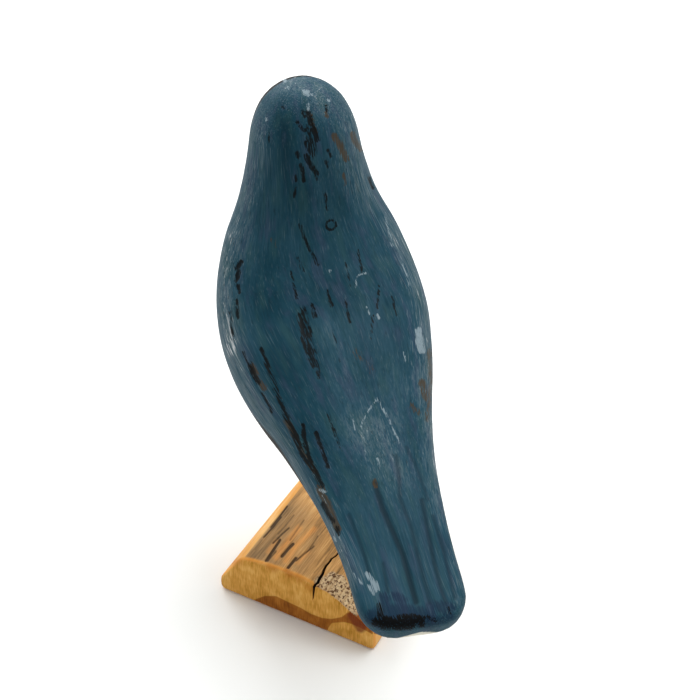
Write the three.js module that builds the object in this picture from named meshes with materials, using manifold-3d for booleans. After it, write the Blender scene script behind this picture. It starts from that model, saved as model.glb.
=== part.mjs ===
// A folk-carved wooden warbler: a one-piece painted bird on a dowel peg, over a small block of old board.
// Millimetres, +Z up. The bird faces +Y, and the origin is on the ground under the peg.
import * as THREE from 'three';
import { mergeVertices } from 'three/addons/utils/BufferGeometryUtils.js';
import Module from 'manifold-3d';

const wasm = await Module();
wasm.setup();

// Driving dimensions of the bird.
// Each section stands square to the midline at (y, z). wide is half its width, back and belly are its
// heights above and below the midline, and square is 2 for an oval and more for a boxier cut.
const sections = [
  { y: -65.8, z: 48, wide: 11.2, back: 3.6, belly: 4.0, square: 3.4 }, // tail tip
  { y: -50, z: 54, wide: 11.4, back: 3.9, belly: 4.6, square: 3.2 }, // tail
  { y: -35, z: 57.5, wide: 13.2, back: 5.5, belly: 7.0, square: 2.8 }, // tail root
  { y: -20, z: 60.5, wide: 16.5, back: 9.5, belly: 12.5, square: 2.6 }, // rump
  { y: -5, z: 64, wide: 21.2, back: 13.5, belly: 18.5, square: 2.4 }, // lower back
  { y: 8, z: 68.5, wide: 24.0, back: 15.5, belly: 22.0, square: 2.2 }, // widest, over the peg
  { y: 17, z: 76, wide: 23.4, back: 15.5, belly: 22.0, square: 2.1 }, // shoulders
  { y: 22.5, z: 86, wide: 20.2, back: 13.5, belly: 18.0, square: 2.0 }, // mantle
  { y: 25, z: 96, wide: 15.5, back: 12.0, belly: 12.8, square: 2.0 }, // neck
  { y: 27, z: 109, wide: 12.1, back: 11.5, belly: 13.0, square: 2.0 }, // head
  { y: 30.5, z: 121.5, wide: 11.6, back: 11.5, belly: 12.5, square: 2.0 }, // crown
];
const crownCap = 13; // height of the dome over the crown
const tailCorner = 7.2;
const tailEdge = 0.6; // the share of the tail's half height that is rounded over
const tailSkew = 1.4; // how much further the left corner of the tail reaches
const tailSkewReach = 14;

// The feather grooves along the tail, cut by hand and so unevenly spaced. Their columns count from the middle
// of the tail's top, with the left side below zero.
const grooveColumns = [-7, -4, -1, 3, 5, 8];
const grooveDepth = 0.35;
const grooveNear = 5;
const grooveFar = 32;
const grooveLean = 0.6; // under 1 puts the deepest place nearer the tip

const billLength = 11;
const billWidth = 5.4;
const billHeight = 5;
const billRootHeight = 110.5;
const billRootY = 38.8;
const billSunk = 4;
const billDroop = 0.12;
const billTaper = 1.2; // 1 for a straight cone and more for fuller sides

// Driving dimensions of the stand.
const pegRadius = 2.5;
const pegInBase = 8;
const pegInBird = 9;
const glueGap = 0.3;

const baseWidth = 43;
const baseLength = 41;
const baseHeight = 15.3;
const baseTurn = 43; // degrees clockwise from the way the bird faces
const baseOffset = 0.6; // from the peg to the middle of the base
const baseRound = 0.9;
const footRound = 1;
const leftEdge = 5; // height of the low left edge, where the sanded slope starts
const leftShoulder = { inset: 6.5, height: 13.2 };
const rightEdge = 7;
const rightShoulder = { inset: 9.5, height: 12.8 };

// The drying crack that opens at the near end, with the wood to its right sunk a little.
const crackAcross = 5.2;
const crackWidth = 0.9;
const crackDepth = 6;
const crackRun = 26;
const crackSag = 0.8;
const crackWander = 0.35;
const crackTurn = 2.4; // how far the wander swings from one step to the next, in radians

// How finely the bird is faceted.
const columns = 64;
const ringStep = 2.4;
const endSteps = [0.12, 0.45, 1, 1.8, 2.8, 4, 5.6];
const capStepScale = 0.95;
const billColumns = 16;
const pegColumns = 24;
const curveSteps = 5;

// A smooth run through one value of each section after another.
function through(pick) {
  return new THREE.CatmullRomCurve3(sections.map(pick), false, 'catmullrom', 0.5);
}

const midline = through((s) => new THREE.Vector3(0, s.y, s.z));
const girth = through((s) => new THREE.Vector3(s.wide, s.back, s.belly));
const cut = through((s) => new THREE.Vector3(s.square, 0, 0));
const birdLength = midline.getLength();

// A half height that comes in round over the last stretch before an end.
function roundedIn(half, radius, distance) {
  if (distance >= radius) return half;
  return half - radius + Math.sqrt(radius * radius - (radius - distance) ** 2);
}

// The share of the full section that is left, at a distance from the top of a dome.
function domed(distance, height) {
  if (distance >= height) return 1;
  return Math.sqrt(1 - (1 - distance / height) ** 2);
}

// How deep the feather grooves are, which run along the tail and fade out at both ends.
function grooveAt(distance) {
  if (distance < grooveNear || distance > grooveFar) return 0;
  const share = (distance - grooveNear) / (grooveFar - grooveNear);
  return grooveDepth * Math.sin(Math.PI * share ** grooveLean);
}

// The outline of the bird, square to its midline at a distance from the tail tip.
function ring(distance) {
  const t = midline.getUtoTmapping(distance / birdLength);
  const at = midline.getPoint(t);
  const along = midline.getTangent(t);
  const up = new THREE.Vector3(0, -along.z, along.y);
  const size = girth.getPoint(t);
  const square = cut.getPoint(t).x;
  const cap = domed(birdLength - distance, crownCap);
  const wide = roundedIn(size.x, tailCorner, distance) * cap;
  const back = roundedIn(size.y, size.y * tailEdge, distance) * cap;
  const belly = roundedIn(size.z, size.z * tailEdge, distance) * cap;
  const skewFade = Math.max(0, 1 - distance / tailSkewReach);
  const groove = grooveAt(distance);
  const points = [];
  for (let i = 0; i < columns; i += 1) {
    const angle = (2 * Math.PI * i) / columns;
    const s = Math.sin(angle);
    const c = Math.cos(angle);
    const reach = (Math.abs(s) ** square + Math.abs(c) ** square) ** (-1 / square);
    const isGroove = grooveColumns.includes(i < columns / 2 ? i : i - columns);
    const x = wide * s * reach;
    const n = (c > 0 ? back : belly) * c * reach - (isGroove ? groove : 0);
    const slide = -(tailSkew / 2) * (x / sections[0].wide) * skewFade;
    const point = new THREE.Vector3(x, at.y, at.z).addScaledVector(up, n).addScaledVector(along, slide);
    points.push(point);
  }
  return points;
}

// A closed body through rings of points, with its two ends closed to a point each. The points of a ring run
// clockwise as seen from the first end.
function loft(rings, firstTip, lastTip) {
  const positions = [firstTip, ...rings.flat(), lastTip].flatMap((p) => [p.x, p.y, p.z]);
  const around = rings[0].length;
  const last = rings.length * around + 1;
  const faces = [];
  const corner = (r, i) => 1 + r * around + (i % around);
  for (let i = 0; i < around; i += 1) {
    faces.push(0, corner(0, i + 1), corner(0, i));
    faces.push(last, corner(rings.length - 1, i), corner(rings.length - 1, i + 1));
    for (let r = 0; r + 1 < rings.length; r += 1) {
      faces.push(corner(r, i), corner(r + 1, i + 1), corner(r + 1, i));
      faces.push(corner(r, i), corner(r, i + 1), corner(r + 1, i + 1));
    }
  }
  const geometry = new THREE.BufferGeometry();
  geometry.setAttribute('position', new THREE.Float32BufferAttribute(positions, 3));
  geometry.setIndex(faces);
  return geometry;
}

function toSolid(geometry) {
  const bare = geometry.clone();
  bare.deleteAttribute('normal');
  bare.deleteAttribute('uv');
  const merged = mergeVertices(bare, 1e-4);
  return new wasm.Manifold(new wasm.Mesh({
    numProp: 3,
    vertProperties: new Float32Array(merged.attributes.position.array),
    triVerts: new Uint32Array(merged.index.array),
  }));
}

function toMesh(name, solid, material) {
  const { vertProperties, triVerts } = solid.getMesh();
  const geometry = new THREE.BufferGeometry();
  geometry.setAttribute('position', new THREE.Float32BufferAttribute(vertProperties, 3));
  geometry.setIndex(Array.from(triVerts));
  geometry.computeVertexNormals();
  const mesh = new THREE.Mesh(geometry, material);
  mesh.name = name;
  return mesh;
}

// A round bar along +Z, with its foot at (0, 0, bottom).
function upright(radius, bottom, top) {
  const geometry = new THREE.CylinderGeometry(radius, radius, top - bottom, pegColumns);
  geometry.rotateX(Math.PI / 2);
  geometry.translate(0, 0, (bottom + top) / 2);
  return geometry;
}

// The body, tail and head, lofted along the midline.
function body() {
  const distances = [...endSteps];
  const crownSteps = endSteps.map((d) => birdLength - d * capStepScale).reverse();
  const span = crownSteps[0] - endSteps.at(-1);
  const count = Math.round(span / ringStep);
  for (let k = 1; k < count; k += 1) distances.push(endSteps.at(-1) + (span * k) / count);
  distances.push(...crownSteps);
  return loft(distances.map(ring), midline.getPoint(0), midline.getPoint(1));
}

// The bill, a slim oval cone that grows out of the face.
function bill() {
  const stations = [0, 0.25, 0.5, 0.75, 0.92];
  const whole = billLength + billSunk;
  const rings = stations.map((share) => {
    const y = billRootY - billSunk + whole * share;
    const z = billRootHeight - billDroop * whole * share;
    const taper = 1 - share ** billTaper;
    const points = [];
    for (let i = 0; i < billColumns; i += 1) {
      const angle = (2 * Math.PI * i) / billColumns;
      const x = (billWidth / 2) * taper * Math.sin(angle);
      points.push(new THREE.Vector3(x, y, z + (billHeight / 2) * taper * Math.cos(angle)));
    }
    return points;
  });
  const root = new THREE.Vector3(0, billRootY - billSunk, billRootHeight);
  const tip = new THREE.Vector3(0, billRootY + billLength, billRootHeight - billDroop * whole);
  return loft(rings, root, tip);
}

// The height of the bird's underside over the origin, found by a ray up the peg.
function undersideHeight(geometry) {
  const probe = new THREE.Mesh(geometry);
  const upTheMiddle = new THREE.Raycaster(new THREE.Vector3(0.01, 0.01, 0), new THREE.Vector3(0, 0, 1));
  return upTheMiddle.intersectObject(probe)[0].point.z;
}

// The base's end outline: straight foot, sanded slope up from the low left edge, crowned top, and a lower
// and steeper right side beyond the crack.
function baseOutline() {
  const half = baseWidth / 2;
  const left = -half + leftShoulder.inset;
  const right = half - rightShoulder.inset;
  const shape = new THREE.Shape();
  shape.moveTo(-half + footRound, 0);
  shape.lineTo(half - footRound, 0);
  shape.quadraticCurveTo(half, 0, half, footRound);
  shape.lineTo(half, rightEdge - footRound);
  shape.quadraticCurveTo(half, rightEdge, half - footRound, rightEdge + footRound / 2);
  shape.lineTo(right, rightShoulder.height);
  const sunk = baseHeight - crackSag;
  shape.quadraticCurveTo((right + crackAcross) / 2, sunk, crackAcross, sunk);
  shape.quadraticCurveTo(crackAcross / 2, baseHeight, 0, baseHeight);
  shape.quadraticCurveTo(left / 2, baseHeight, left + footRound, leftShoulder.height + footRound / 2);
  shape.quadraticCurveTo(left, leftShoulder.height, left - footRound, leftShoulder.height - footRound);
  shape.lineTo(-half + footRound, leftEdge);
  shape.quadraticCurveTo(-half, leftEdge - footRound, -half, leftEdge - 2 * footRound);
  shape.lineTo(-half, footRound);
  shape.quadraticCurveTo(-half, 0, -half + footRound, 0);
  return shape;
}

// Puts a shape made about the base's own middle in its place on the ground, turned under the bird.
function placedUnderBird(geometry) {
  geometry.rotateZ(-THREE.MathUtils.degToRad(baseTurn));
  geometry.translate(-baseOffset, 0, 0);
  return geometry;
}

// The block of old board, with its two ends rounded over.
function block() {
  const outline = baseOutline().getPoints(curveSteps);
  const stations = [0, 0.25, 0.6, 1].map((share) => share * baseRound);
  const along = [...stations, ...stations.map((d) => baseLength - d).reverse()];
  const middle = baseHeight / 2;
  const rings = along.map((y) => {
    const inset = baseRound - roundedIn(baseRound, baseRound, Math.min(y, baseLength - y));
    return outline.map((p) => {
      const rise = p.y - middle;
      const x = p.x - Math.sign(p.x) * Math.min(inset, Math.abs(p.x));
      const z = rise - Math.sign(rise) * Math.min(inset, Math.abs(rise));
      return new THREE.Vector3(x, y - baseLength / 2, z + middle);
    }).reverse();
  });
  const end = (y) => new THREE.Vector3(0, y, middle);
  return placedUnderBird(loft(rings, end(-baseLength / 2), end(baseLength / 2)));
}

// The open crack as a thin wedge of air, deepest at the near end and closing as it runs back.
function crack() {
  const clear = 1;
  const steps = 6;
  const rings = [];
  for (let k = 0; k <= steps; k += 1) {
    const y = -baseLength / 2 - clear + ((crackRun + clear) * k) / steps;
    const left = 1 - k / (steps + 1);
    const x = crackAcross + crackWander * Math.sin(crackTurn * k);
    const halfWidth = (crackWidth / 2) * left;
    rings.push([
      new THREE.Vector3(x + halfWidth, y, baseHeight + clear),
      new THREE.Vector3(x, y, baseHeight - crackDepth * left),
      new THREE.Vector3(x - halfWidth, y, baseHeight + clear),
    ]);
  }
  const middleOf = (ring) => ring[0].clone().add(ring[1]).add(ring[2]).divideScalar(3);
  return placedUnderBird(loft(rings, middleOf(rings[0]), middleOf(rings.at(-1))));
}

const birdGeometry = body();
const underside = undersideHeight(birdGeometry);
const pegTop = underside + pegInBird;
const pegBottom = baseHeight - pegInBase;
const socketRadius = pegRadius + glueGap;

const paint = new THREE.MeshStandardMaterial({ color: '#2b4a59', roughness: 0.7, metalness: 0 });
const oldBoard = new THREE.MeshStandardMaterial({ color: '#aa7f4c', roughness: 0.8, metalness: 0 });
const dowel = new THREE.MeshStandardMaterial({ color: '#b98f5c', roughness: 0.75, metalness: 0 });

const birdSocket = toSolid(upright(socketRadius, 0, pegTop + glueGap));
const baseSocket = toSolid(upright(socketRadius, pegBottom - glueGap, underside));
const bird = toSolid(birdGeometry).add(toSolid(bill())).subtract(birdSocket);
const base = toSolid(block()).subtract(toSolid(crack())).subtract(baseSocket);

const part = new THREE.Group();
part.add(toMesh('carved_bird', bird, paint));
part.add(toMesh('support_peg', toSolid(upright(pegRadius, pegBottom, pegTop)), dowel));
part.add(toMesh('base_block', base, oldBoard));

export default part;
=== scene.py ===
import math

import bpy
import numpy as np
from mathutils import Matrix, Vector, noise


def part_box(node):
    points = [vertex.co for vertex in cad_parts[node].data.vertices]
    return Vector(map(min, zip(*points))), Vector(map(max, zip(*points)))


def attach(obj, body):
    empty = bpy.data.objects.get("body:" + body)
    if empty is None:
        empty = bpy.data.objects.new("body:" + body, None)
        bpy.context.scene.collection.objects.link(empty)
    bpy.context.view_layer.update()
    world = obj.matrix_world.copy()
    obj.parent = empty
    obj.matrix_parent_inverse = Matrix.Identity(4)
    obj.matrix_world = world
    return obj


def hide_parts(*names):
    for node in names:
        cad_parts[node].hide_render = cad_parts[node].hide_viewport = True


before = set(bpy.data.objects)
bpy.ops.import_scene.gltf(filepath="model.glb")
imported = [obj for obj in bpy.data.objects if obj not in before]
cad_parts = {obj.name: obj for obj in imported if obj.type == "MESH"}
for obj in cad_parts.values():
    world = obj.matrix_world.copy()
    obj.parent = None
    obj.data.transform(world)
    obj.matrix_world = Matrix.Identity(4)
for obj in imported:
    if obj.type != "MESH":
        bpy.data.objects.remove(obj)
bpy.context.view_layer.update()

# All sizes are in millimetres here, and MM turns them into Blender's metres.
MM = 0.001

# The camera that took the photograph, in the object's own frame.
PHOTO_SIZE = 700
CAMERA_PLACE = Vector((-60.84, -239.41, 262.0)) * MM
CAMERA_TURN = math.radians(15)
CAMERA_DOWN = math.radians(38)
LENS = 72
SENSOR = 36

# The bird's midline from the tail tip to the crown, as (y, z), and its half width at each of those places.
MIDLINE = [
    (-65.8, 48), (-50, 54), (-35, 57.5), (-20, 60.5), (-5, 64), (8, 68.5),
    (17, 76), (22.5, 86), (25, 96), (27, 109), (30.5, 121.5),
]
HALF_WIDTHS = [11.2, 11.4, 13.2, 16.5, 21.2, 24.0, 23.4, 20.2, 15.5, 12.1, 11.6]
WIDEST = max(HALF_WIDTHS)

# The base is turned under the bird, and its near end faces the camera.
BASE_TURN = math.radians(43)
BASE_MIDDLE = (-0.6, 0.0)
BASE_LENGTH = 41
BASE_WIDTH = 43
BASE_HEIGHT = 15.3

# The drying crack, where it lies across the board and how it closes as it runs back.
CRACK_ACROSS = 5.2
CRACK_WIDTH = 0.95
CRACK_DEPTH = 6.2
CRACK_RUN = 26
CRACK_WANDER = 0.35

# How fine the carved surfaces are meshed.
BIRD_GRAIN = 0.45
BASE_GRAIN = 0.34


# Working helpers

def smooth(low, high, value):
    """Rises softly from 0 at low to 1 at high."""
    share = np.clip((value - low) / (high - low), 0, 1)
    return share * share * (3 - 2 * share)


def linear(hex_colour):
    """An sRGB hex colour as the linear colour that a shader takes."""
    parts = [int(hex_colour[i:i + 2], 16) / 255 for i in (1, 3, 5)]
    return tuple(c / 12.92 if c <= 0.04045 else ((c + 0.055) / 1.055) ** 2.4 for c in parts) + (1,)


def only(piece):
    """Selects this piece alone and makes it the active one."""
    bpy.ops.object.select_all(action="DESELECT")
    piece.select_set(True)
    bpy.context.view_layer.objects.active = piece


def finished(piece, kind, **settings):
    """Puts a modifier on the piece and applies it."""
    only(piece)
    modifier = piece.modifiers.new(kind.title(), kind)
    for name, value in settings.items():
        setattr(modifier, name, value)
    bpy.ops.object.modifier_apply(modifier=modifier.name)


def carving_blank(node, name):
    """A merged copy of a CAD node's mesh, to be carved further."""
    only(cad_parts[node])
    bpy.ops.object.duplicate()
    piece = bpy.context.active_object
    piece.name = piece.data.name = name
    for key in list(piece.keys()):
        del piece[key]
    piece.parent = None
    bpy.ops.object.mode_set(mode="EDIT")
    bpy.ops.mesh.select_all(action="SELECT")
    bpy.ops.mesh.remove_doubles(threshold=0.002 * MM)
    bpy.ops.mesh.tris_convert_to_quads(face_threshold=math.radians(40), shape_threshold=math.radians(60))
    bpy.ops.object.mode_set(mode="OBJECT")
    return piece


def points_of(piece):
    """The piece's vertices and their normals, the vertices in millimetres."""
    count = len(piece.data.vertices)
    places = np.empty(count * 3, np.float32)
    normals = np.empty(count * 3, np.float32)
    piece.data.vertices.foreach_get("co", places)
    piece.data.vertex_normals.foreach_get("vector", normals)
    return places.reshape(-1, 3).astype(float) / MM, normals.reshape(-1, 3).astype(float)


def move_to(piece, places):
    """Gives the piece's vertices new places, in millimetres."""
    piece.data.vertices.foreach_set("co", (places * MM).astype(np.float32).ravel())
    piece.data.update()


def keep_on(piece, name, values):
    """Keeps a value, or a place in millimetres, at each vertex for the material to read."""
    kind = "FLOAT" if values.ndim == 1 else "FLOAT_VECTOR"
    layer = piece.data.attributes.new(name, kind, "POINT")
    field = "value" if values.ndim == 1 else "vector"
    layer.data.foreach_set(field, values.astype(np.float32).ravel())


def ripple(places, across, along, seed=0.0):
    """Soft noise from -1 to 1 that changes over these lengths, at (across, along, height) places."""
    scaled = places / np.array([across, along, across]) + seed
    return np.array([noise.noise(Vector(p)) for p in scaled])


def photo_pixels(places):
    """Where places in millimetres fall in the photograph, and how many millimetres one pixel covers there."""
    out = places - np.array(CAMERA_PLACE) / MM
    sin_turn, cos_turn = math.sin(CAMERA_TURN), math.cos(CAMERA_TURN)
    sin_down, cos_down = math.sin(CAMERA_DOWN), math.cos(CAMERA_DOWN)
    depth = out @ np.array([sin_turn * cos_down, cos_turn * cos_down, -sin_down])
    right = out @ np.array([cos_turn, -sin_turn, 0])
    up = out @ np.array([sin_turn * sin_down, cos_turn * sin_down, cos_down])
    focal = PHOTO_SIZE * LENS / SENSOR
    half = PHOTO_SIZE / 2
    return np.stack([half + focal * right / depth, half - focal * up / depth], 1), depth / focal


def facing_camera(places, normals):
    """1 where the surface faces the photograph's camera, falling to 0 where it turns away."""
    to_camera = np.array(CAMERA_PLACE) / MM - places
    to_camera /= np.linalg.norm(to_camera, axis=1)[:, None]
    return smooth(-0.12, 0.05, (normals * to_camera).sum(1))


def distance_to_line(points, line):
    """How far points are from a line through a few corners, in the plane of the points."""
    best = np.full(len(points), np.inf)
    for start, end in zip(line, line[1:]):
        start, way = np.array(start, float), np.subtract(end, start).astype(float)
        share = np.clip(((points - start) @ way) / (way @ way), 0, 1)
        best = np.minimum(best, np.linalg.norm(points - start - share[:, None] * way, axis=1))
    return best


def strokes(pixels, pixel_size, marks):
    """How strongly a set of strokes covers each place. A stroke is (reach in mm, strength, corner pixels...)."""
    cover = np.zeros(len(pixels))
    for reach, strength, *line in marks:
        away = distance_to_line(pixels, line) * pixel_size
        cover = np.maximum(cover, strength * (1 - smooth(0, reach, away)))
    return cover


def between(pixels, upper, lower, soft):
    """1 between an upper and a lower line of pixels that run from left to right, with soft edges."""
    top = np.interp(pixels[:, 0], *zip(*upper))
    bottom = np.interp(pixels[:, 0], *zip(*lower))
    across = smooth(upper[0][0] - 2, upper[0][0] + 4, pixels[:, 0])
    return across * smooth(top - soft, top + soft, pixels[:, 1]) * (1 - smooth(bottom - soft, bottom + soft, pixels[:, 1]))


def add_node(tree, kind, inputs=None, stops=None, **settings):
    """Adds a node, sets it, and sets or links its inputs. stops are a colour ramp's (place, colour)."""
    node = tree.nodes.new(kind)
    for name, value in settings.items():
        setattr(node, name, value)
    for place, colour in stops or []:
        at = node.color_ramp.elements.new(place)
        at.color = colour
    if stops:
        node.color_ramp.elements.remove(node.color_ramp.elements[0])
        node.color_ramp.elements.remove(node.color_ramp.elements[-1])
    for socket, value in (inputs or {}).items():
        if isinstance(value, bpy.types.NodeSocket):
            tree.links.new(value, node.inputs[socket])
        else:
            node.inputs[socket].default_value = value
    return node


class Finish:
    """A material in the making, with the few steps that every finish here is mixed from."""

    def __init__(self, name, frame_name):
        self.material = bpy.data.materials.new(name)
        self.material.use_nodes = True
        self.tree = self.material.node_tree
        self.shader = self.tree.nodes["Principled BSDF"]
        self.frame_name = frame_name

    def kept(self, name, output="Fac"):
        """What keep_on left on the piece."""
        return add_node(self.tree, "ShaderNodeAttribute", attribute_name=name).outputs[output]

    def grain(self, across, along, up=None, detail=2.0, rough=0.5, seed=0):
        """Noise that changes over these lengths in millimetres across, along and up the piece."""
        size = (1 / across, 1 / along, 1 / (up or across))
        spread = add_node(self.tree, "ShaderNodeMapping", {
            "Vector": self.kept(self.frame_name, "Vector"), "Scale": size, "Location": (seed, seed * 0.7, seed * 1.3)})
        return add_node(self.tree, "ShaderNodeTexNoise", {
            "Vector": spread.outputs[0], "Scale": 1.0, "Detail": detail, "Roughness": rough}).outputs["Fac"]

    def ranged(self, value, low, high, to_low=0.0, to_high=1.0):
        """Spreads low to high over to_low to to_high, and holds what lies outside."""
        return add_node(self.tree, "ShaderNodeMapRange", {
            "Value": value, "From Min": low, "From Max": high, "To Min": to_low, "To Max": to_high,
        }).outputs[0]

    def plus(self, first, second, weight=1.0):
        return add_node(
            self.tree, "ShaderNodeMath", {0: second, 1: weight, 2: first}, operation="MULTIPLY_ADD").outputs[0]

    def times(self, first, second):
        return add_node(self.tree, "ShaderNodeMath", {0: first, 1: second}, operation="MULTIPLY").outputs[0]

    def over(self, under, colour, share):
        """Lays a colour over another, as a share from 0 to 1."""
        top = linear(colour) if isinstance(colour, str) else colour
        return add_node(self.tree, "ShaderNodeMix", {
            "Factor": share, "A": under, "B": top}, data_type="RGBA").outputs["Result"]

    def ramp(self, value, *stops):
        return add_node(self.tree, "ShaderNodeValToRGB", {"Fac": value}, stops=[
            (place, linear(colour)) for place, colour in stops]).outputs["Color"]

    def done(self, colour, height, bump_height, bump_strength):
        """Wires the colour and a bump of this height in millimetres."""
        bump = add_node(self.tree, "ShaderNodeBump", {
            "Height": height, "Strength": bump_strength, "Distance": bump_height * MM})
        self.tree.links.new(colour, self.shader.inputs["Base Color"])
        self.tree.links.new(bump.outputs[0], self.shader.inputs["Normal"])
        return self.material


# The camera and the light

def photo_camera():
    bpy.ops.object.camera_add(
        location=CAMERA_PLACE, rotation=(math.pi / 2 - CAMERA_DOWN, 0, -CAMERA_TURN))
    camera = bpy.context.active_object
    camera.data.lens = LENS
    camera.data.sensor_width = SENSOR
    camera.data.clip_start = 0.01
    bpy.context.scene.camera = camera


def soft_light(name, place, size, power):
    """A square softbox that looks at the middle of the bird."""
    aim = Vector((0, 0, 0.06))
    bpy.ops.object.light_add(type="AREA", location=place)
    lamp = bpy.context.active_object
    lamp.name = name
    lamp.data.size = size
    lamp.data.energy = power
    lamp.rotation_euler = (aim - Vector(place)).to_track_quat("-Z", "Y").to_euler()


def studio():
    """A pale table under soft, even light."""
    bpy.ops.mesh.primitive_plane_add(size=6, location=(0, 0, 0))
    table = bpy.context.active_object
    table.name = "pale_table"
    material = bpy.data.materials.new("pale_matte_table")
    material.use_nodes = True
    shader = material.node_tree.nodes["Principled BSDF"]
    shader.inputs["Base Color"].default_value = linear("#f1f3f2")
    shader.inputs["Roughness"].default_value = 0.9
    table.data.materials.append(material)
    world = bpy.data.worlds.new("even_studio")
    world.use_nodes = True
    world.node_tree.nodes["Background"].inputs["Color"].default_value = linear("#ffffff")
    world.node_tree.nodes["Background"].inputs["Strength"].default_value = 0.56
    bpy.context.scene.world = world
    soft_light("softbox_right", (0.3, 0.1, 0.8), 0.6, 5.5)
    soft_light("softbox_behind", (-0.25, 0.65, 0.6), 0.7, 5.5)
    bpy.context.scene.view_settings.view_transform = "Standard"


# Where the bird's marks lie, in the photograph's pixels

# The hand-cut lines on the tail, from the rump to the tip.
TAIL_CUTS = [
    (1.1, 1.0, (375, 484), (383, 510), (393, 532), (403, 555), (409, 577), (416, 602)),
    (1.0, 0.6, (396, 456), (399, 475), (400, 498), (411, 526), (418, 557), (425, 583), (430, 603)),
    (1.0, 0.7, (422, 500), (428, 531), (434, 562), (440, 585), (446, 604)),
    (0.9, 0.6, (433, 516), (443, 548), (450, 577), (455, 598)),
    (0.9, 0.6, (349, 515), (358, 538), (365, 558), (369, 573)),
    (0.8, 0.6, (383, 563), (388, 592)),
    (0.8, 0.5, (406, 447), (418, 470), (428, 500)),
]

# Grain that has torn out and gone dark: slits and pits in the paint.
TORN_GRAIN = [
    (1.1, 1.0, (308, 112), (310, 120), (314, 130), (318, 140)),
    (0.8, 0.7, (302, 111), (304, 117)),
    (0.8, 0.8, (297, 122), (304, 131)),
    (2.6, 0.62, (309, 128), (311, 142), (312, 154)),
    (1.0, 0.9, (306, 143), (309, 150), (313, 157)),
    (1.0, 0.9, (297, 153), (298, 157)),
    (1.1, 1.0, (306, 156), (312, 167), (317, 174)),
    (0.9, 0.9, (301, 165), (303, 173), (304, 181)),
    (0.8, 0.8, (328, 150), (331, 157)),
    (0.8, 0.8, (326, 161), (328, 167)),
    (0.8, 0.7, (316, 176), (318, 180)),
    (0.7, 0.8, (326, 105), (327, 111)),
    (0.7, 0.7, (282, 107), (284, 108)),
    (0.7, 0.6, (269, 133), (269, 142)),
    (0.8, 0.7, (295, 176), (296, 181)),
    (0.8, 0.7, (296, 188), (294, 197)),
    (0.8, 0.7, (325, 193), (327, 208)),
    (0.8, 0.5, (274, 208), (276, 215)),
    (0.8, 0.9, (369, 178), (373, 188)),
    (0.8, 0.8, (300, 224), (306, 243), (318, 265)),
    (0.8, 0.7, (326, 202), (328, 210)),
    (1.0, 0.6, (298, 258), (303, 271)),
    (0.9, 0.6, (291, 272), (297, 299)),
    (0.8, 0.9, (327, 291), (332, 306)),
    (1.5, 1.0, (300, 316), (303, 326), (305, 334)),
    (2.4, 0.62, (303, 310), (305, 330), (311, 352)),
    (1.0, 0.95, (312, 305), (315, 317)),
    (0.9, 0.9, (309, 328), (311, 335)),
    (1.4, 0.7, (303, 338), (307, 352), (313, 366)),
    (1.0, 0.7, (314, 350), (319, 378)),
    (0.9, 0.6, (379, 286), (377, 308)),
    (0.8, 0.6, (373, 316), (371, 338)),
    (1.0, 1.0, (241, 262), (236, 269)),
    (1.0, 1.0, (239, 272), (236, 280)),
    (1.0, 0.9, (238, 286), (239, 292)),
    (1.2, 1.0, (250, 364), (253, 373)),
    (1.2, 1.0, (255, 378), (258, 383)),
    (1.0, 0.9, (261, 349), (268, 367)),
    (1.6, 0.55, (268, 366), (280, 400), (292, 426)),
    (0.9, 1.0, (303, 425), (304, 439), (312, 465)),
    (0.9, 0.9, (316, 433), (322, 449), (328, 467)),
    (0.8, 0.7, (328, 414), (336, 436), (340, 447)),
    (1.0, 0.8, (274, 390), (280, 400), (285, 413)),
    (1.3, 0.85, (285, 413), (296, 437), (302, 453)),
    (1.3, 0.85, (302, 453), (313, 467), (322, 486)),
    (1.2, 0.9, (323, 504), (328, 514), (333, 522)),
    (1.0, 0.9, (337, 528), (339, 534)),
    (0.9, 0.7, (237, 300), (238, 318)),
    (0.9, 0.6, (230, 312), (233, 336)),
    (0.9, 0.6, (243, 352), (247, 362)),
    (0.9, 0.6, (262, 392), (272, 412)),
    (0.9, 0.6, (345, 300), (350, 322)),
    (0.8, 0.6, (358, 250), (362, 272)),
    (0.8, 0.5, (346, 262), (350, 286)),
    (0.8, 0.6, (392, 296), (396, 316)),
    (0.8, 0.5, (333, 330), (340, 362)),
]

# Places where the paint is rubbed down to brown wood.
RUBBED_BARE = [
    (1.5, 0.9, (334, 136), (339, 143), (344, 153), (346, 159)),
    (1.5, 0.8, (353, 134), (355, 141), (361, 149)),
    (1.0, 0.7, (326, 112), (327, 117)),
    (1.1, 0.7, (310, 114), (313, 124), (316, 132)),
    (1.0, 0.6, (344, 174), (345, 185)),
    (2.0, 0.7, (422, 382), (426, 397)),
    (1.8, 0.55, (412, 405), (418, 413)),
    (1.5, 0.6, (430, 350), (431, 385), (427, 420)),
    (1.6, 0.8, (252, 366), (258, 380), (264, 388)),
    (1.8, 0.6, (286, 420), (300, 446), (316, 474)),
    (1.8, 0.8, (320, 488), (328, 506), (338, 528)),
    (3.2, 0.42, (356, 352), (372, 370)),
    (2.0, 0.42, (272, 240), (278, 246)),
    (1.0, 0.8, (374, 480), (376, 486)),
]

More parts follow.
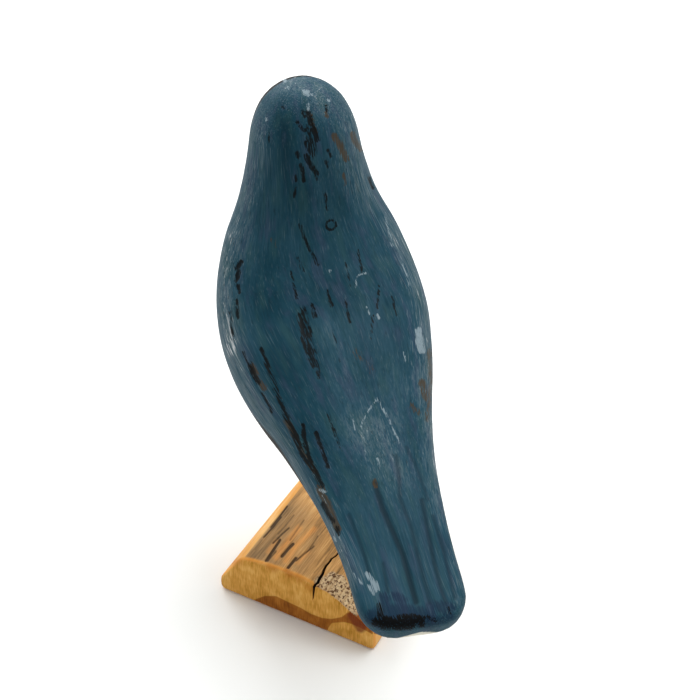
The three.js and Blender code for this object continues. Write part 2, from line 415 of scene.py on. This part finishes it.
# Bumped and scratched places where the paint has gone pale.
SCUFFS = [
    (0.8, 0.9, (284, 79), (285, 81)),
    (0.6, 0.9, (288, 87), (289, 88)),
    (0.8, 0.9, (304, 91), (305, 94)),
    (0.6, 0.9, (308, 91), (308, 96)),
    (0.6, 0.8, (311, 94), (312, 95)),
    (0.6, 0.8, (308, 104), (308, 110)),
    (0.6, 0.9, (328, 100), (329, 101)),
    (0.6, 0.7, (266, 118), (266, 121)),
    (1.8, 0.85, (419, 331), (419, 340), (422, 350)),
    (0.5, 1.0, (330, 270), (330, 272)),
    (0.6, 0.6, (356, 277), (361, 274), (366, 273)),
    (0.6, 0.6, (356, 277), (356, 288)),
    (0.6, 0.7, (367, 307), (370, 314)),
    (0.8, 0.7, (377, 315), (379, 318)),
    (0.7, 0.6, (376, 397), (385, 412), (400, 443)),
    (0.7, 0.5, (376, 400), (366, 414), (361, 426), (366, 458)),
    (0.6, 0.7, (377, 458), (379, 465)),
    (0.8, 0.7, (320, 490), (326, 492)),
    (0.7, 0.6, (322, 496), (327, 503)),
    (1.2, 0.85, (367, 574), (375, 584), (377, 589)),
    (1.0, 0.6, (369, 586), (374, 594)),
    (0.7, 0.6, (334, 537), (336, 541)),
    (0.9, 0.5, (385, 213), (392, 246)),
    (1.0, 0.5, (398, 252), (410, 285)),
    (0.8, 0.5, (354, 574), (362, 584)),
    (0.6, 0.6, (403, 352), (406, 362)),
    (0.6, 0.5, (352, 412), (355, 430)),
]

# The black paint on the end of the tail, and the navy patches around it.
TAIL_BLOT = [
    (2.6, 1.0, (384, 623), (398, 623), (413, 621)),
    (1.8, 1.0, (376, 622), (386, 624), (398, 626), (410, 625)),
    (1.6, 0.8, (398, 618), (410, 617), (421, 619)),
    (1.4, 0.9, (418, 618), (422, 624)),
    (1.6, 0.6, (379, 606), (381, 613), (378, 618)),
    (1.2, 0.6, (427, 617), (436, 621)),
    (1.0, 0.5, (448, 608), (450, 613)),
]
NAVY_PATCHES = [
    (3.6, 0.9, (374, 618), (400, 612), (428, 618)),
    (2.4, 0.8, (383, 598), (384, 606)),
    (2.0, 0.7, (394, 596), (404, 600)),
    (2.6, 0.7, (432, 606), (450, 608)),
    (2.2, 0.6, (436, 622), (450, 616)),
]

# Broad areas where the blue is deeper and darker: partly the paint's own colour, partly painted shade on the left of
# the back and on the nape.
DEEP_BLUE_AND_SHADE = [
    (7, 1.0, (287, 108), (287, 140), (286, 170), (296, 196)),
    (6, 0.6, (330, 175), (334, 200)),
    (9, 1.0, (276, 270), (277, 330), (290, 375), (305, 410)),
    (7, 0.9, (285, 390), (310, 440), (335, 490)),
    (7, 0.6, (345, 480), (375, 540)),
    (8, 0.7, (320, 240), (345, 300)),
    (8, 0.45, (395, 300), (398, 350)),
    (6, 0.6, (300, 300), (312, 370)),
]

# Areas where it is thinner and greyer, and painted sheen: the grey along the outline where the sides turn away.
THIN_PAINT_AND_SHEEN = [
    (5, 1.0, (232, 235), (224, 270), (222, 310), (232, 350)),
    (5, 0.8, (240, 366), (270, 422), (318, 508), (350, 575)),
    (5, 0.7, (262, 112), (256, 150), (246, 195), (236, 225)),
    (7, 0.8, (345, 105), (358, 165), (376, 200)),
    (6, 0.8, (392, 225), (414, 270), (426, 330), (428, 390)),
    (8, 0.5, (372, 430), (395, 470)),
    (5, 0.5, (455, 560), (463, 600)),
    (9, 0.95, (290, 84), (310, 86), (332, 98)),
    (4, 0.7, (428, 420), (432, 455), (444, 520)),
]

KNOT = (331, 225)
KNOT_RADIUS = 1.05

# The edge that the knife left between the back and the left flank.
FLANK_EDGE = [(244, 330), (262, 368), (285, 413), (302, 452), (322, 488), (338, 530), (352, 566)]

# The right eye, which the photograph doesn't show, in millimetres. It sits on the surface nearest this place.
EYE_PLACE = (9.8, 35.0, 114.5)
EYE_RADIUS = 1.5


# The bird

def lay_out(places):
    """Each place on the bird as if the bird were straightened: across, along its midline, and above it."""
    line = np.array(MIDLINE, float)
    padded = np.vstack([2 * line[0] - line[1], line, 2 * line[-1] - line[-2]])
    fine = []
    for i in range(1, len(padded) - 2):
        a, b, c, d = padded[i - 1:i + 3]
        for t in np.linspace(0, 1, 40, endpoint=False):
            fine.append(0.5 * (2 * b + (c - a) * t + (2 * a - 5 * b + 4 * c - d) * t ** 2
                               + (3 * b - a - 3 * c + d) * t ** 3))
    fine = np.array(fine + [line[-1]])
    along = np.concatenate([[0], np.cumsum(np.linalg.norm(np.diff(fine, axis=0), axis=1))])
    ways = np.gradient(fine, axis=0)
    ways /= np.linalg.norm(ways, axis=1)[:, None]
    nearest = np.empty(len(places), int)
    for start in range(0, len(places), 20000):
        part = places[start:start + 20000, 1:]
        nearest[start:start + 20000] = ((part[:, None] - fine[None]) ** 2).sum(2).argmin(1)
    out = places[:, 1:] - fine[nearest]
    way = ways[nearest]
    height = out[:, 1] * way[:, 0] - out[:, 0] * way[:, 1]
    distance = along[nearest] + (out * way).sum(1)
    narrow = (WIDEST / np.interp(distance, along[::40], HALF_WIDTHS)) ** 0.7
    laid = np.stack([places[:, 0] * narrow, distance, height * narrow], 1)
    angle = np.degrees(np.arctan2(places[:, 0], height))
    return laid, distance, angle


def carve_bird(piece):
    """Cuts the finer relief, and keeps where each paint and each kind of wear lies."""
    places, normals = points_of(piece)
    laid, distance, angle = lay_out(places)
    side = np.abs(angle)
    # The grain wanders, and on the back it runs a little from the left shoulder to the right hip.
    laid[:, 0] += 0.9 * ripple(laid, 9, 20, 1.7) + 0.09 * laid[:, 1]
    pixels, pixel_size = photo_pixels(places)
    seen = facing_camera(places, normals)

    torn = strokes(pixels, pixel_size, TORN_GRAIN) * seen
    cuts = strokes(pixels, pixel_size, TAIL_CUTS) * seen
    rubbed = strokes(pixels, pixel_size, RUBBED_BARE) * seen
    knot_away = np.linalg.norm(pixels - np.array(KNOT), axis=1) * pixel_size
    knot_ring = np.exp(-((knot_away - KNOT_RADIUS) / 0.32) ** 2) * seen
    edge = np.exp(-(distance_to_line(pixels, FLANK_EDGE) * pixel_size / 0.8) ** 2) * seen
    thin_and_sheen = strokes(pixels, pixel_size, THIN_PAINT_AND_SHEEN) * seen
    # Painted sheen: the flanks that turn away from view are greyed as if light grazed them.
    thin_and_sheen = np.maximum(thin_and_sheen, 0.75 * smooth(52, 84, side) * (1 - seen))

    # Eyes: a shallow round cut on each side of the face.
    eye = places[np.linalg.norm(places - EYE_PLACE, axis=1).argmin()]
    left_eye = eye * np.array([-1, 1, 1])
    eye_away = np.minimum(np.linalg.norm(places - eye, axis=1), np.linalg.norm(places - left_eye, axis=1))
    eye_groove = np.exp(-((eye_away - EYE_RADIUS) / 0.4) ** 2)

    on_body = 1 - smooth(38.5, 40.5, places[:, 1])
    knife = ripple(laid, 8, 18, 7.7)
    ridges = ripple(laid, 1.5, 18, 3.1)
    splinters = ripple(laid, 0.8, 9, 5.3)
    relief = on_body * (0.12 * knife + 0.05 * ridges + (0.02 + 0.03 * thin_and_sheen) * splinters)
    relief -= 0.22 * smooth(0.35, 0.95, torn) + 0.2 * smooth(0.1, 0.9, cuts) + 0.06 * smooth(0.3, 0.8, rubbed)
    relief += 0.2 * edge - 0.16 * knot_ring - 0.18 * eye_groove
    move_to(piece, places + normals * relief[:, None])

    # The scheme of the hidden side: black face, throat and flanks, and an off-white belly.
    wobble = 4 * ripple(laid, 6, 14, 11.3)
    face_edge = np.interp(distance, [38, 52, 70, 90, 108, 122, 134, 146], [99, 97, 112, 118, 112, 102, 93, 60])
    black = smooth(face_edge - 1.5, face_edge + 1.5, side + wobble * 0.3) * smooth(36, 42, distance)
    belly_edge = np.interp(distance, [0, 30, 52, 70, 86, 100], [118, 112, 126, 134, 146, 178])
    white = smooth(belly_edge - 2, belly_edge + 2, side + wobble) * (1 - smooth(93, 95, distance))
    keep_on(piece, "laid_out", laid)
    keep_on(piece, "black_paint", black)
    keep_on(piece, "white_paint", white)
    keep_on(piece, "torn", np.maximum(torn, 0.9 * knot_ring))
    keep_on(piece, "cut_lines", cuts)
    keep_on(piece, "rubbed", rubbed)
    keep_on(piece, "scuffed", strokes(pixels, pixel_size, SCUFFS) * seen)
    keep_on(piece, "blot", strokes(pixels, pixel_size, TAIL_BLOT) * seen)
    keep_on(piece, "navy", strokes(pixels, pixel_size, NAVY_PATCHES) * seen)
    keep_on(piece, "deep_and_shade", strokes(pixels, pixel_size, DEEP_BLUE_AND_SHADE) * seen)
    keep_on(piece, "thin_and_sheen", thin_and_sheen)
    keep_on(piece, "eye", 1 - smooth(EYE_RADIUS - 0.3, EYE_RADIUS, eye_away))
    keep_on(piece, "eye_ring", np.exp(-((eye_away - EYE_RADIUS) / 0.3) ** 2))


def old_blue_paint():
    """Flat oil paint, brushed by hand over knife-cut wood and long handled: streaks along the body, deep blue in broad
    patches that are partly painted shade, greyer where it is thin and where painted sheen greys the outline, and dark
    where the grain has torn out."""
    paint = Finish("brushed_flat_blue_paint", "laid_out")
    kept, grain, ranged, plus, times, over = (
        paint.kept, paint.grain, paint.ranged, paint.plus, paint.times, paint.over)
    deep_and_shade = kept("deep_and_shade")
    thin_and_sheen = kept("thin_and_sheen")

    # Brush marks half a millimetre wide, and clouds where the paint was laid on unevenly.
    brush = grain(0.6, 10, detail=4, rough=0.6)
    fine = grain(0.3, 4.5, detail=3, rough=0.6, seed=3)
    cloud = grain(6, 18, detail=3, seed=9)
    busy = plus(plus(0.7, deep_and_shade, -0.35), thin_and_sheen, 0.5)
    marks = plus(plus(-0.45, brush, 0.55), fine, 0.35)
    tone = plus(plus(0.42, times(marks, busy), 1.3), plus(-0.5, cloud, 1.0), 0.55)
    # Painted shade and sheen: the deep mask darkens the left of the back and the nape, and the thin mask greys the
    # outline.
    tone = plus(plus(tone, deep_and_shade, -0.2), thin_and_sheen, 0.24)
    blue = paint.ramp(
        tone, (0.0, "#042430"), (0.25, "#0c3543"), (0.5, "#214453"), (0.75, "#4a5f68"), (1.0, "#7b8688"))
    tint = grain(3, 12, detail=2, seed=14)
    blue = over(blue, "#27474a", ranged(tint, 0.52, 0.68, 0, 0.4))
    blue = over(blue, "#333f55", ranged(tint, 0.46, 0.32, 0, 0.4))

    # Fine pale scratches and dark open grain, most of them where the paint is thin and on the outline that the painted
    # sheen greys.
    scratched = ranged(grain(0.28, 7, detail=2, seed=5), 0.58, 0.7)
    blue = over(blue, "#87979c", times(scratched, plus(0.1, thin_and_sheen, 0.4)))
    open_grain = ranged(grain(0.35, 6, detail=3, rough=0.6, seed=8), 0.42, 0.32)
    blue = over(blue, "#06181f", times(open_grain, plus(0.3, thin_and_sheen, 0.45)))
    blue = over(blue, "#0a222d", times(ranged(kept("cut_lines"), 0.15, 0.8), 0.85))

    def ragged_patch(name, low=0.42, high=0.6, seed=1):
        """A kept mark that breaks up into splinters of 0.35 mm towards its edge."""
        splinters = ranged(grain(0.35, 4, detail=3, rough=0.6, seed=seed), 0.36, 0.64)
        return ranged(times(kept(name), plus(0.5, splinters)), low, high)

    black = over(blue, "#0e0f10", kept("black_paint"))
    dressed = over(black, "#cfcabb", kept("white_paint"))
    dressed = over(dressed, "#071430", times(ragged_patch("navy", 0.3, 0.6, 21), 0.6))
    dressed = over(dressed, "#41331f", times(ragged_patch("rubbed", seed=22), 0.8))
    dressed = over(dressed, "#060808", times(ragged_patch("torn", seed=23), 0.92))
    dressed = over(dressed, "#8f9fa6", times(ragged_patch("scuffed", seed=24), 0.65))
    dressed = over(dressed, "#010203", ragged_patch("blot", 0.42, 0.55, 25))
    dressed = over(dressed, "#b9b4a4", times(kept("eye_ring"), 0.8))
    dressed = over(dressed, "#050506", kept("eye"))

    rough = ranged(brush, 0.3, 0.7, 0.66, 0.52)
    paint.tree.links.new(ranged(kept("eye"), 0, 1, rough, 0.15), paint.shader.inputs["Roughness"])
    paint.shader.inputs["IOR"].default_value = 1.48
    paint.shader.inputs["Specular IOR Level"].default_value = 0.1
    return paint.done(dressed, plus(times(brush, 0.6), fine, 0.4), 0.14, 0.45)


def warbler():
    """The bird, carved from one piece, from its faceted blank to its knife marks."""
    bird = carving_blank("carved_bird", "warbler")
    finished(bird, "SUBSURF", levels=2, render_levels=2)
    finished(bird, "REMESH", mode="VOXEL", voxel_size=BIRD_GRAIN * MM)
    finished(bird, "SMOOTH", factor=0.5, iterations=4)
    carve_bird(bird)
    only(bird)
    bpy.ops.object.shade_smooth()
    bird.data.materials.clear()
    bird.data.materials.append(old_blue_paint())
    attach(bird, "root")
    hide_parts("carved_bird")


# Where the base's marks lie, in the photograph's pixels

# The dark growth ring along the foot of the near end, and the red knot that it runs into.
RING_TOP = [
    (250, 604), (256, 599), (265, 596), (276, 596), (286, 601), (301, 608), (311, 614),
    (322, 618), (332, 619), (342, 617), (347, 613), (356, 611), (372, 612),
]
RING_FOOT = [
    (250, 640), (326, 640), (328, 628), (332, 623), (344, 622), (352, 624), (361, 628), (372, 634),
]
RED_KNOT = [(2.6, 1.0, (353, 615), (357, 621), (361, 627))]

# The rough, worm-eaten strip right of the crack.
WORM_STRIP = [
    (3.2, 1.0, (322, 583), (334, 588), (346, 603)),
    (2.2, 1.0, (332, 577), (340, 580), (350, 598)),
    (2.0, 1.0, (346, 600), (353, 612)),
]

# Dark open grain on the weathered top, the strongest first.
DARK_LINES = [
    (0.75, 1.0, (293, 544), (288, 549), (282, 556)),
    (0.7, 0.9, (296, 558), (292, 563), (288, 568)),
    (0.65, 0.9, (280, 540), (272, 552), (264, 564)),
    (0.6, 0.7, (287, 506), (279, 517), (271, 527)),
    (0.6, 0.7, (281, 517), (273, 527), (264, 537)),
    (0.6, 0.5, (294, 515), (286, 525), (278, 534)),
    (0.6, 0.6, (276, 551), (270, 558), (264, 566)),
    (0.6, 0.6, (314, 546), (305, 553), (296, 561)),
    (0.6, 0.6, (289, 528), (281, 535), (273, 543)),
    (0.6, 0.5, (304, 520), (297, 530), (290, 540)),
    (0.6, 0.4, (262, 540), (255, 550)),
    (0.6, 0.5, (318, 536), (310, 548)),
    (0.6, 0.4, (330, 549), (318, 562)),
    (0.6, 0.4, (326, 560), (314, 573)),
]

# Grey-brown weathering on the top, and the streaks where warm wood shows through.
GREY_PATCHES = [
    (7, 1.0, (288, 512), (270, 535), (256, 552)),
    (5, 0.8, (300, 515), (285, 535), (270, 556)),
    (3, 0.7, (318, 534), (308, 548)),
    (4, 0.5, (306, 556), (298, 566)),
]
WARM_STREAKS = [
    (1.4, 0.9, (299, 528), (288, 541), (276, 557)),
    (1.2, 0.9, (314, 529), (303, 539), (294, 549), (286, 561)),
    (1.2, 0.6, (308, 552), (298, 562)),
    (1.0, 0.5, (276, 541), (268, 552)),
]

# Burnt orange where the sander lingered along the near rim.
SCORCHED = [
    (1.6, 0.8, (287, 571), (290, 575)),
    (1.4, 0.6, (269, 567), (275, 570)),
    (1.4, 0.6, (297, 577), (301, 581)),
    (1.4, 0.6, (234, 562), (240, 562)),
    (1.0, 0.5, (306, 585), (312, 590)),
]


# The stand

def board_turn(vectors):
    """Directions turned from the object's frame to the board's: across, along away from the near end, and up."""
    cos_turn, sin_turn = math.cos(BASE_TURN), math.sin(BASE_TURN)
    x, y = vectors[:, 0], vectors[:, 1]
    return np.stack([x * cos_turn - y * sin_turn, x * sin_turn + y * cos_turn, vectors[:, 2]], 1)


def crack_middle(along):
    """Where the crack's middle lies across the board, at places along it."""
    steps = (along + BASE_LENGTH / 2 + 1) / (CRACK_RUN + 1) * 6
    return CRACK_ACROSS + CRACK_WANDER * np.sin(2.4 * steps)


def crack_blade():
    """A thin wedge that wanders a little along the grain, to cut the drying crack with."""
    bpy.ops.object.select_all(action="DESELECT")
    bpy.ops.mesh.primitive_cube_add(size=2 * MM)
    blade = bpy.context.active_object
    bpy.ops.object.mode_set(mode="EDIT")
    bpy.ops.mesh.select_all(action="SELECT")
    bpy.ops.mesh.subdivide(number_cuts=19)
    bpy.ops.object.mode_set(mode="OBJECT")
    corners, _ = points_of(blade)
    back = (corners[:, 1] + 1) / 2
    down = np.clip((1 - corners[:, 2]) / 2, 0, 1)
    along = -BASE_LENGTH / 2 - 1 + (CRACK_RUN + 1) * back
    left = 1 - back * 6 / 7
    half_width = CRACK_WIDTH / 2 * left * (1 - down) ** 0.7 + 0.03
    wave = 0.12 * np.sin(1.9 * along) + 0.25 * down * np.sin(3.1 * down + 1)
    across = crack_middle(along) + wave + corners[:, 0] * half_width
    up = BASE_HEIGHT + 1 - down * (CRACK_DEPTH * left + 1)
    cos_turn, sin_turn = math.cos(BASE_TURN), math.sin(BASE_TURN)
    x = across * cos_turn + along * sin_turn + BASE_MIDDLE[0]
    y = along * cos_turn - across * sin_turn + BASE_MIDDLE[1]
    move_to(blade, np.stack([x, y, up], 1))
    return blade


def carve_base(piece):
    """Weathers the top along its grain, and keeps where each kind of surface lies."""
    places, normals = points_of(piece)
    board = board_turn(places - np.array([*BASE_MIDDLE, 0]))
    facing = board_turn(normals)
    pixels, pixel_size = photo_pixels(places)
    seen = facing_camera(places, normals)

    # The walls of the crack, and its rim where they meet the outside: the finish paints them near black as painted
    # shade inside the narrow crack.
    into_crack = np.abs(board[:, 0] - crack_middle(board[:, 1]))
    shaded_crack_walls = (into_crack < 0.75) & (np.abs(facing[:, 0]) > 0.8) & (board[:, 1] < CRACK_RUN - BASE_LENGTH / 2)
    shaded_crack_walls = shaded_crack_walls.astype(float) * smooth(0.1, 1.2, BASE_HEIGHT - board[:, 2])

    end = smooth(0.6, 0.85, np.abs(facing[:, 1]))
    slope = smooth(0.42, 0.56, -facing[:, 0]) * (1 - end)
    near = smooth(BASE_LENGTH / 2 - 1.6, BASE_LENGTH / 2 - 0.9, np.abs(board[:, 1]))
    rim = near * (1 - end)
    under = smooth(0.6, 0.9, -facing[:, 2])
    right_side = smooth(0.8, 0.95, facing[:, 0])
    weathered = (1 - end) * (1 - slope) * (1 - rim) * (1 - under) * (1 - right_side)
    worm = strokes(pixels, pixel_size, WORM_STRIP) * seen
    lines = strokes(pixels, pixel_size, DARK_LINES) * seen * weathered
    ridges = ripple(board, 0.9, 22, 2.2)
    fibres = ripple(board, 0.5, 9, 6.1)
    rough = ripple(board, 0.8, 0.9, 4.4)
    relief = weathered * (0.13 * ridges + 0.08 * fibres) - 0.22 * smooth(0.3, 0.9, lines)
    relief += 0.25 * smooth(0.3, 0.7, worm) * rough + 0.02 * end * ripple(board, 0.5, 2, 8.8)
    relief *= 1 - smooth(0.2, 0.6, shaded_crack_walls)
    relief *= 1 - under
    move_to(piece, places + normals * relief[:, None])

    keep_on(piece, "board", board)
    keep_on(piece, "end_face", end)
    keep_on(piece, "weathered", weathered)
    keep_on(piece, "rim", rim)
    keep_on(piece, "shaded_crack_walls", shaded_crack_walls)
    keep_on(piece, "ring", between(pixels, RING_TOP, RING_FOOT, 1.6) * seen * np.maximum(end, right_side))
    keep_on(piece, "red_knot", strokes(pixels, pixel_size, RED_KNOT) * seen)
    keep_on(piece, "worm", worm * (1 - end))
    keep_on(piece, "dark_lines", lines)
    keep_on(piece, "grey_wood", strokes(pixels, pixel_size, GREY_PATCHES) * seen)
    keep_on(piece, "warm_wood", strokes(pixels, pixel_size, WARM_STREAKS) * seen)
    keep_on(piece, "scorched", strokes(pixels, pixel_size, SCORCHED) * seen)


def old_board():
    """Softwood board, grey and furrowed on its weathered top, and honey-coloured where it was cut and sanded:
    long furrows on the top, fine upright fibres on the ends."""
    wood = Finish("weathered_pine_board", "board")
    kept, grain, ranged, plus, times, over = wood.kept, wood.grain, wood.ranged, wood.plus, wood.times, wood.over

    # Furrows a millimetre apart on the top, with fibres of 0.3 mm between them.
    furrows = grain(0.8, 16, 20, detail=4, rough=0.6)
    fibres = grain(0.28, 7, 10, detail=3, rough=0.65, seed=2)
    patches = grain(4, 14, 20, detail=2, seed=7)
    top_tone = plus(plus(plus(-0.62, furrows, 0.8), fibres, 0.8), patches, 0.65)
    top_tone = plus(plus(top_tone, kept("grey_wood"), -0.13), kept("warm_wood"), 0.1)
    top = wood.ramp(
        top_tone, (0.1, "#5a4026"), (0.32, "#947145"), (0.5, "#b98b55"), (0.68, "#cfa469"), (0.95, "#e3c796"))
    top = over(top, "#8d7555", times(kept("grey_wood"), ranged(furrows, 0.35, 0.6, 0.15, 0.6)))
    top = over(top, "#dc9348", times(kept("warm_wood"), ranged(fibres, 0.35, 0.6, 0.35, 0.8)))

    end_fibres = grain(0.28, 0.8, 3.2, detail=3, rough=0.6, seed=4)
    end_tone = plus(plus(-0.3, end_fibres, 0.9), grain(3.5, 9, 4, detail=2, seed=6), 0.7)
    cut = wood.ramp(end_tone, (0.25, "#a8741f"), (0.5, "#cd9440"), (0.75, "#e2b060"))
    sanded = wood.ramp(
        plus(plus(-0.2, fibres, 0.5), patches, 0.9), (0.25, "#cc8a3c"), (0.5, "#dda357"), (0.75, "#e9bb7a"))
    sanded = over(sanded, "#d68c33", times(kept("rim"), 0.6))

    skin = over(sanded, top, kept("weathered"))
    skin = over(skin, cut, kept("end_face"))
    skin = over(skin, "#a95f12", times(kept("scorched"), 0.75))
    ring_tone = wood.ramp(end_tone, (0.25, "#6d3500"), (0.5, "#8f4d06"), (0.75, "#a9661a"))
    skin = over(skin, ring_tone, times(ranged(plus(kept("ring"), end_fibres, 0.4), 0.45, 0.9), 0.9))
    knot = ranged(times(kept("red_knot"), plus(0.5, end_fibres)), 0.3, 0.7)
    skin = over(skin, "#6a2407", times(knot, 0.8))

    # The worm-eaten strip: pale rough wood with dark curling galleries half a millimetre wide.
    worm = ranged(plus(kept("worm"), patches, 0.5), 0.5, 0.8)
    skin = over(skin, wood.ramp(furrows, (0.35, "#a98a63"), (0.65, "#dcc7a2")), times(worm, 0.8))
    galleries = ranged(grain(0.55, 0.8, 0.7, detail=3, rough=0.6, seed=11), 0.5, 0.58)
    skin = over(skin, "#4a240d", times(times(worm, galleries), 0.9))
    skin = over(skin, "#21140a", times(ranged(times(kept("dark_lines"), plus(0.5, fibres)), 0.25, 0.6), 0.85))
    # Painted shade: the crack's walls and rim are painted near black, standing in for the shade inside the crack.
    skin = over(skin, "#0a0705", kept("shaded_crack_walls"))

    wood.shader.inputs["Roughness"].default_value = 0.72
    wood.shader.inputs["IOR"].default_value = 1.5
    wood.shader.inputs["Specular IOR Level"].default_value = 0.15
    return wood.done(skin, plus(furrows, fibres, 0.7), 0.16, 0.5)


def base_board():
    """The block of old board under the bird."""
    board = carving_blank("base_block", "board_base")
    finished(board, "REMESH", mode="VOXEL", voxel_size=BASE_GRAIN * MM)
    finished(board, "SMOOTH", factor=0.5, iterations=3)
    blade = crack_blade()
    finished(board, "BOOLEAN", operation="DIFFERENCE", solver="EXACT", object=blade)
    bpy.data.objects.remove(blade)
    carve_base(board)
    only(board)
    bpy.ops.object.shade_smooth_by_angle(angle=math.radians(50))
    board.data.materials.clear()
    board.data.materials.append(old_board())
    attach(board, "root")
    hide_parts("base_block")


def bare_dowel():
    """Birch dowel, turned and sanded, left bare: pale, with fine grain up its length."""
    birch = Finish("bare_birch_dowel", "dowel")
    grain = birch.grain(0.4, 0.4, 9, detail=3)
    colour = birch.ramp(grain, (0.3, "#9a7043"), (0.5, "#b98f5c"), (0.7, "#cda873"))
    birch.shader.inputs["Roughness"].default_value = 0.65
    return birch.done(colour, grain, 0.08, 0.4)


def peg():
    """The dowel that holds the bird up, with its two ends eased."""
    low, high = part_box("support_peg")
    bpy.ops.object.select_all(action="DESELECT")
    bpy.ops.mesh.primitive_cylinder_add(
        vertices=48, radius=(high.x - low.x) / 2, depth=high.z - low.z, location=(low + high) / 2)
    piece = bpy.context.active_object
    piece.name = piece.data.name = "dowel_peg"
    bpy.ops.object.transform_apply(location=True, rotation=True, scale=True)
    finished(piece, "BEVEL", width=0.4 * MM, segments=3, limit_method="ANGLE")
    bpy.ops.object.shade_smooth_by_angle(angle=math.radians(40))
    keep_on(piece, "dowel", points_of(piece)[0])
    piece.data.materials.append(bare_dowel())
    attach(piece, "root")
    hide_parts("support_peg")


photo_camera()
studio()
warbler()
base_board()
peg()
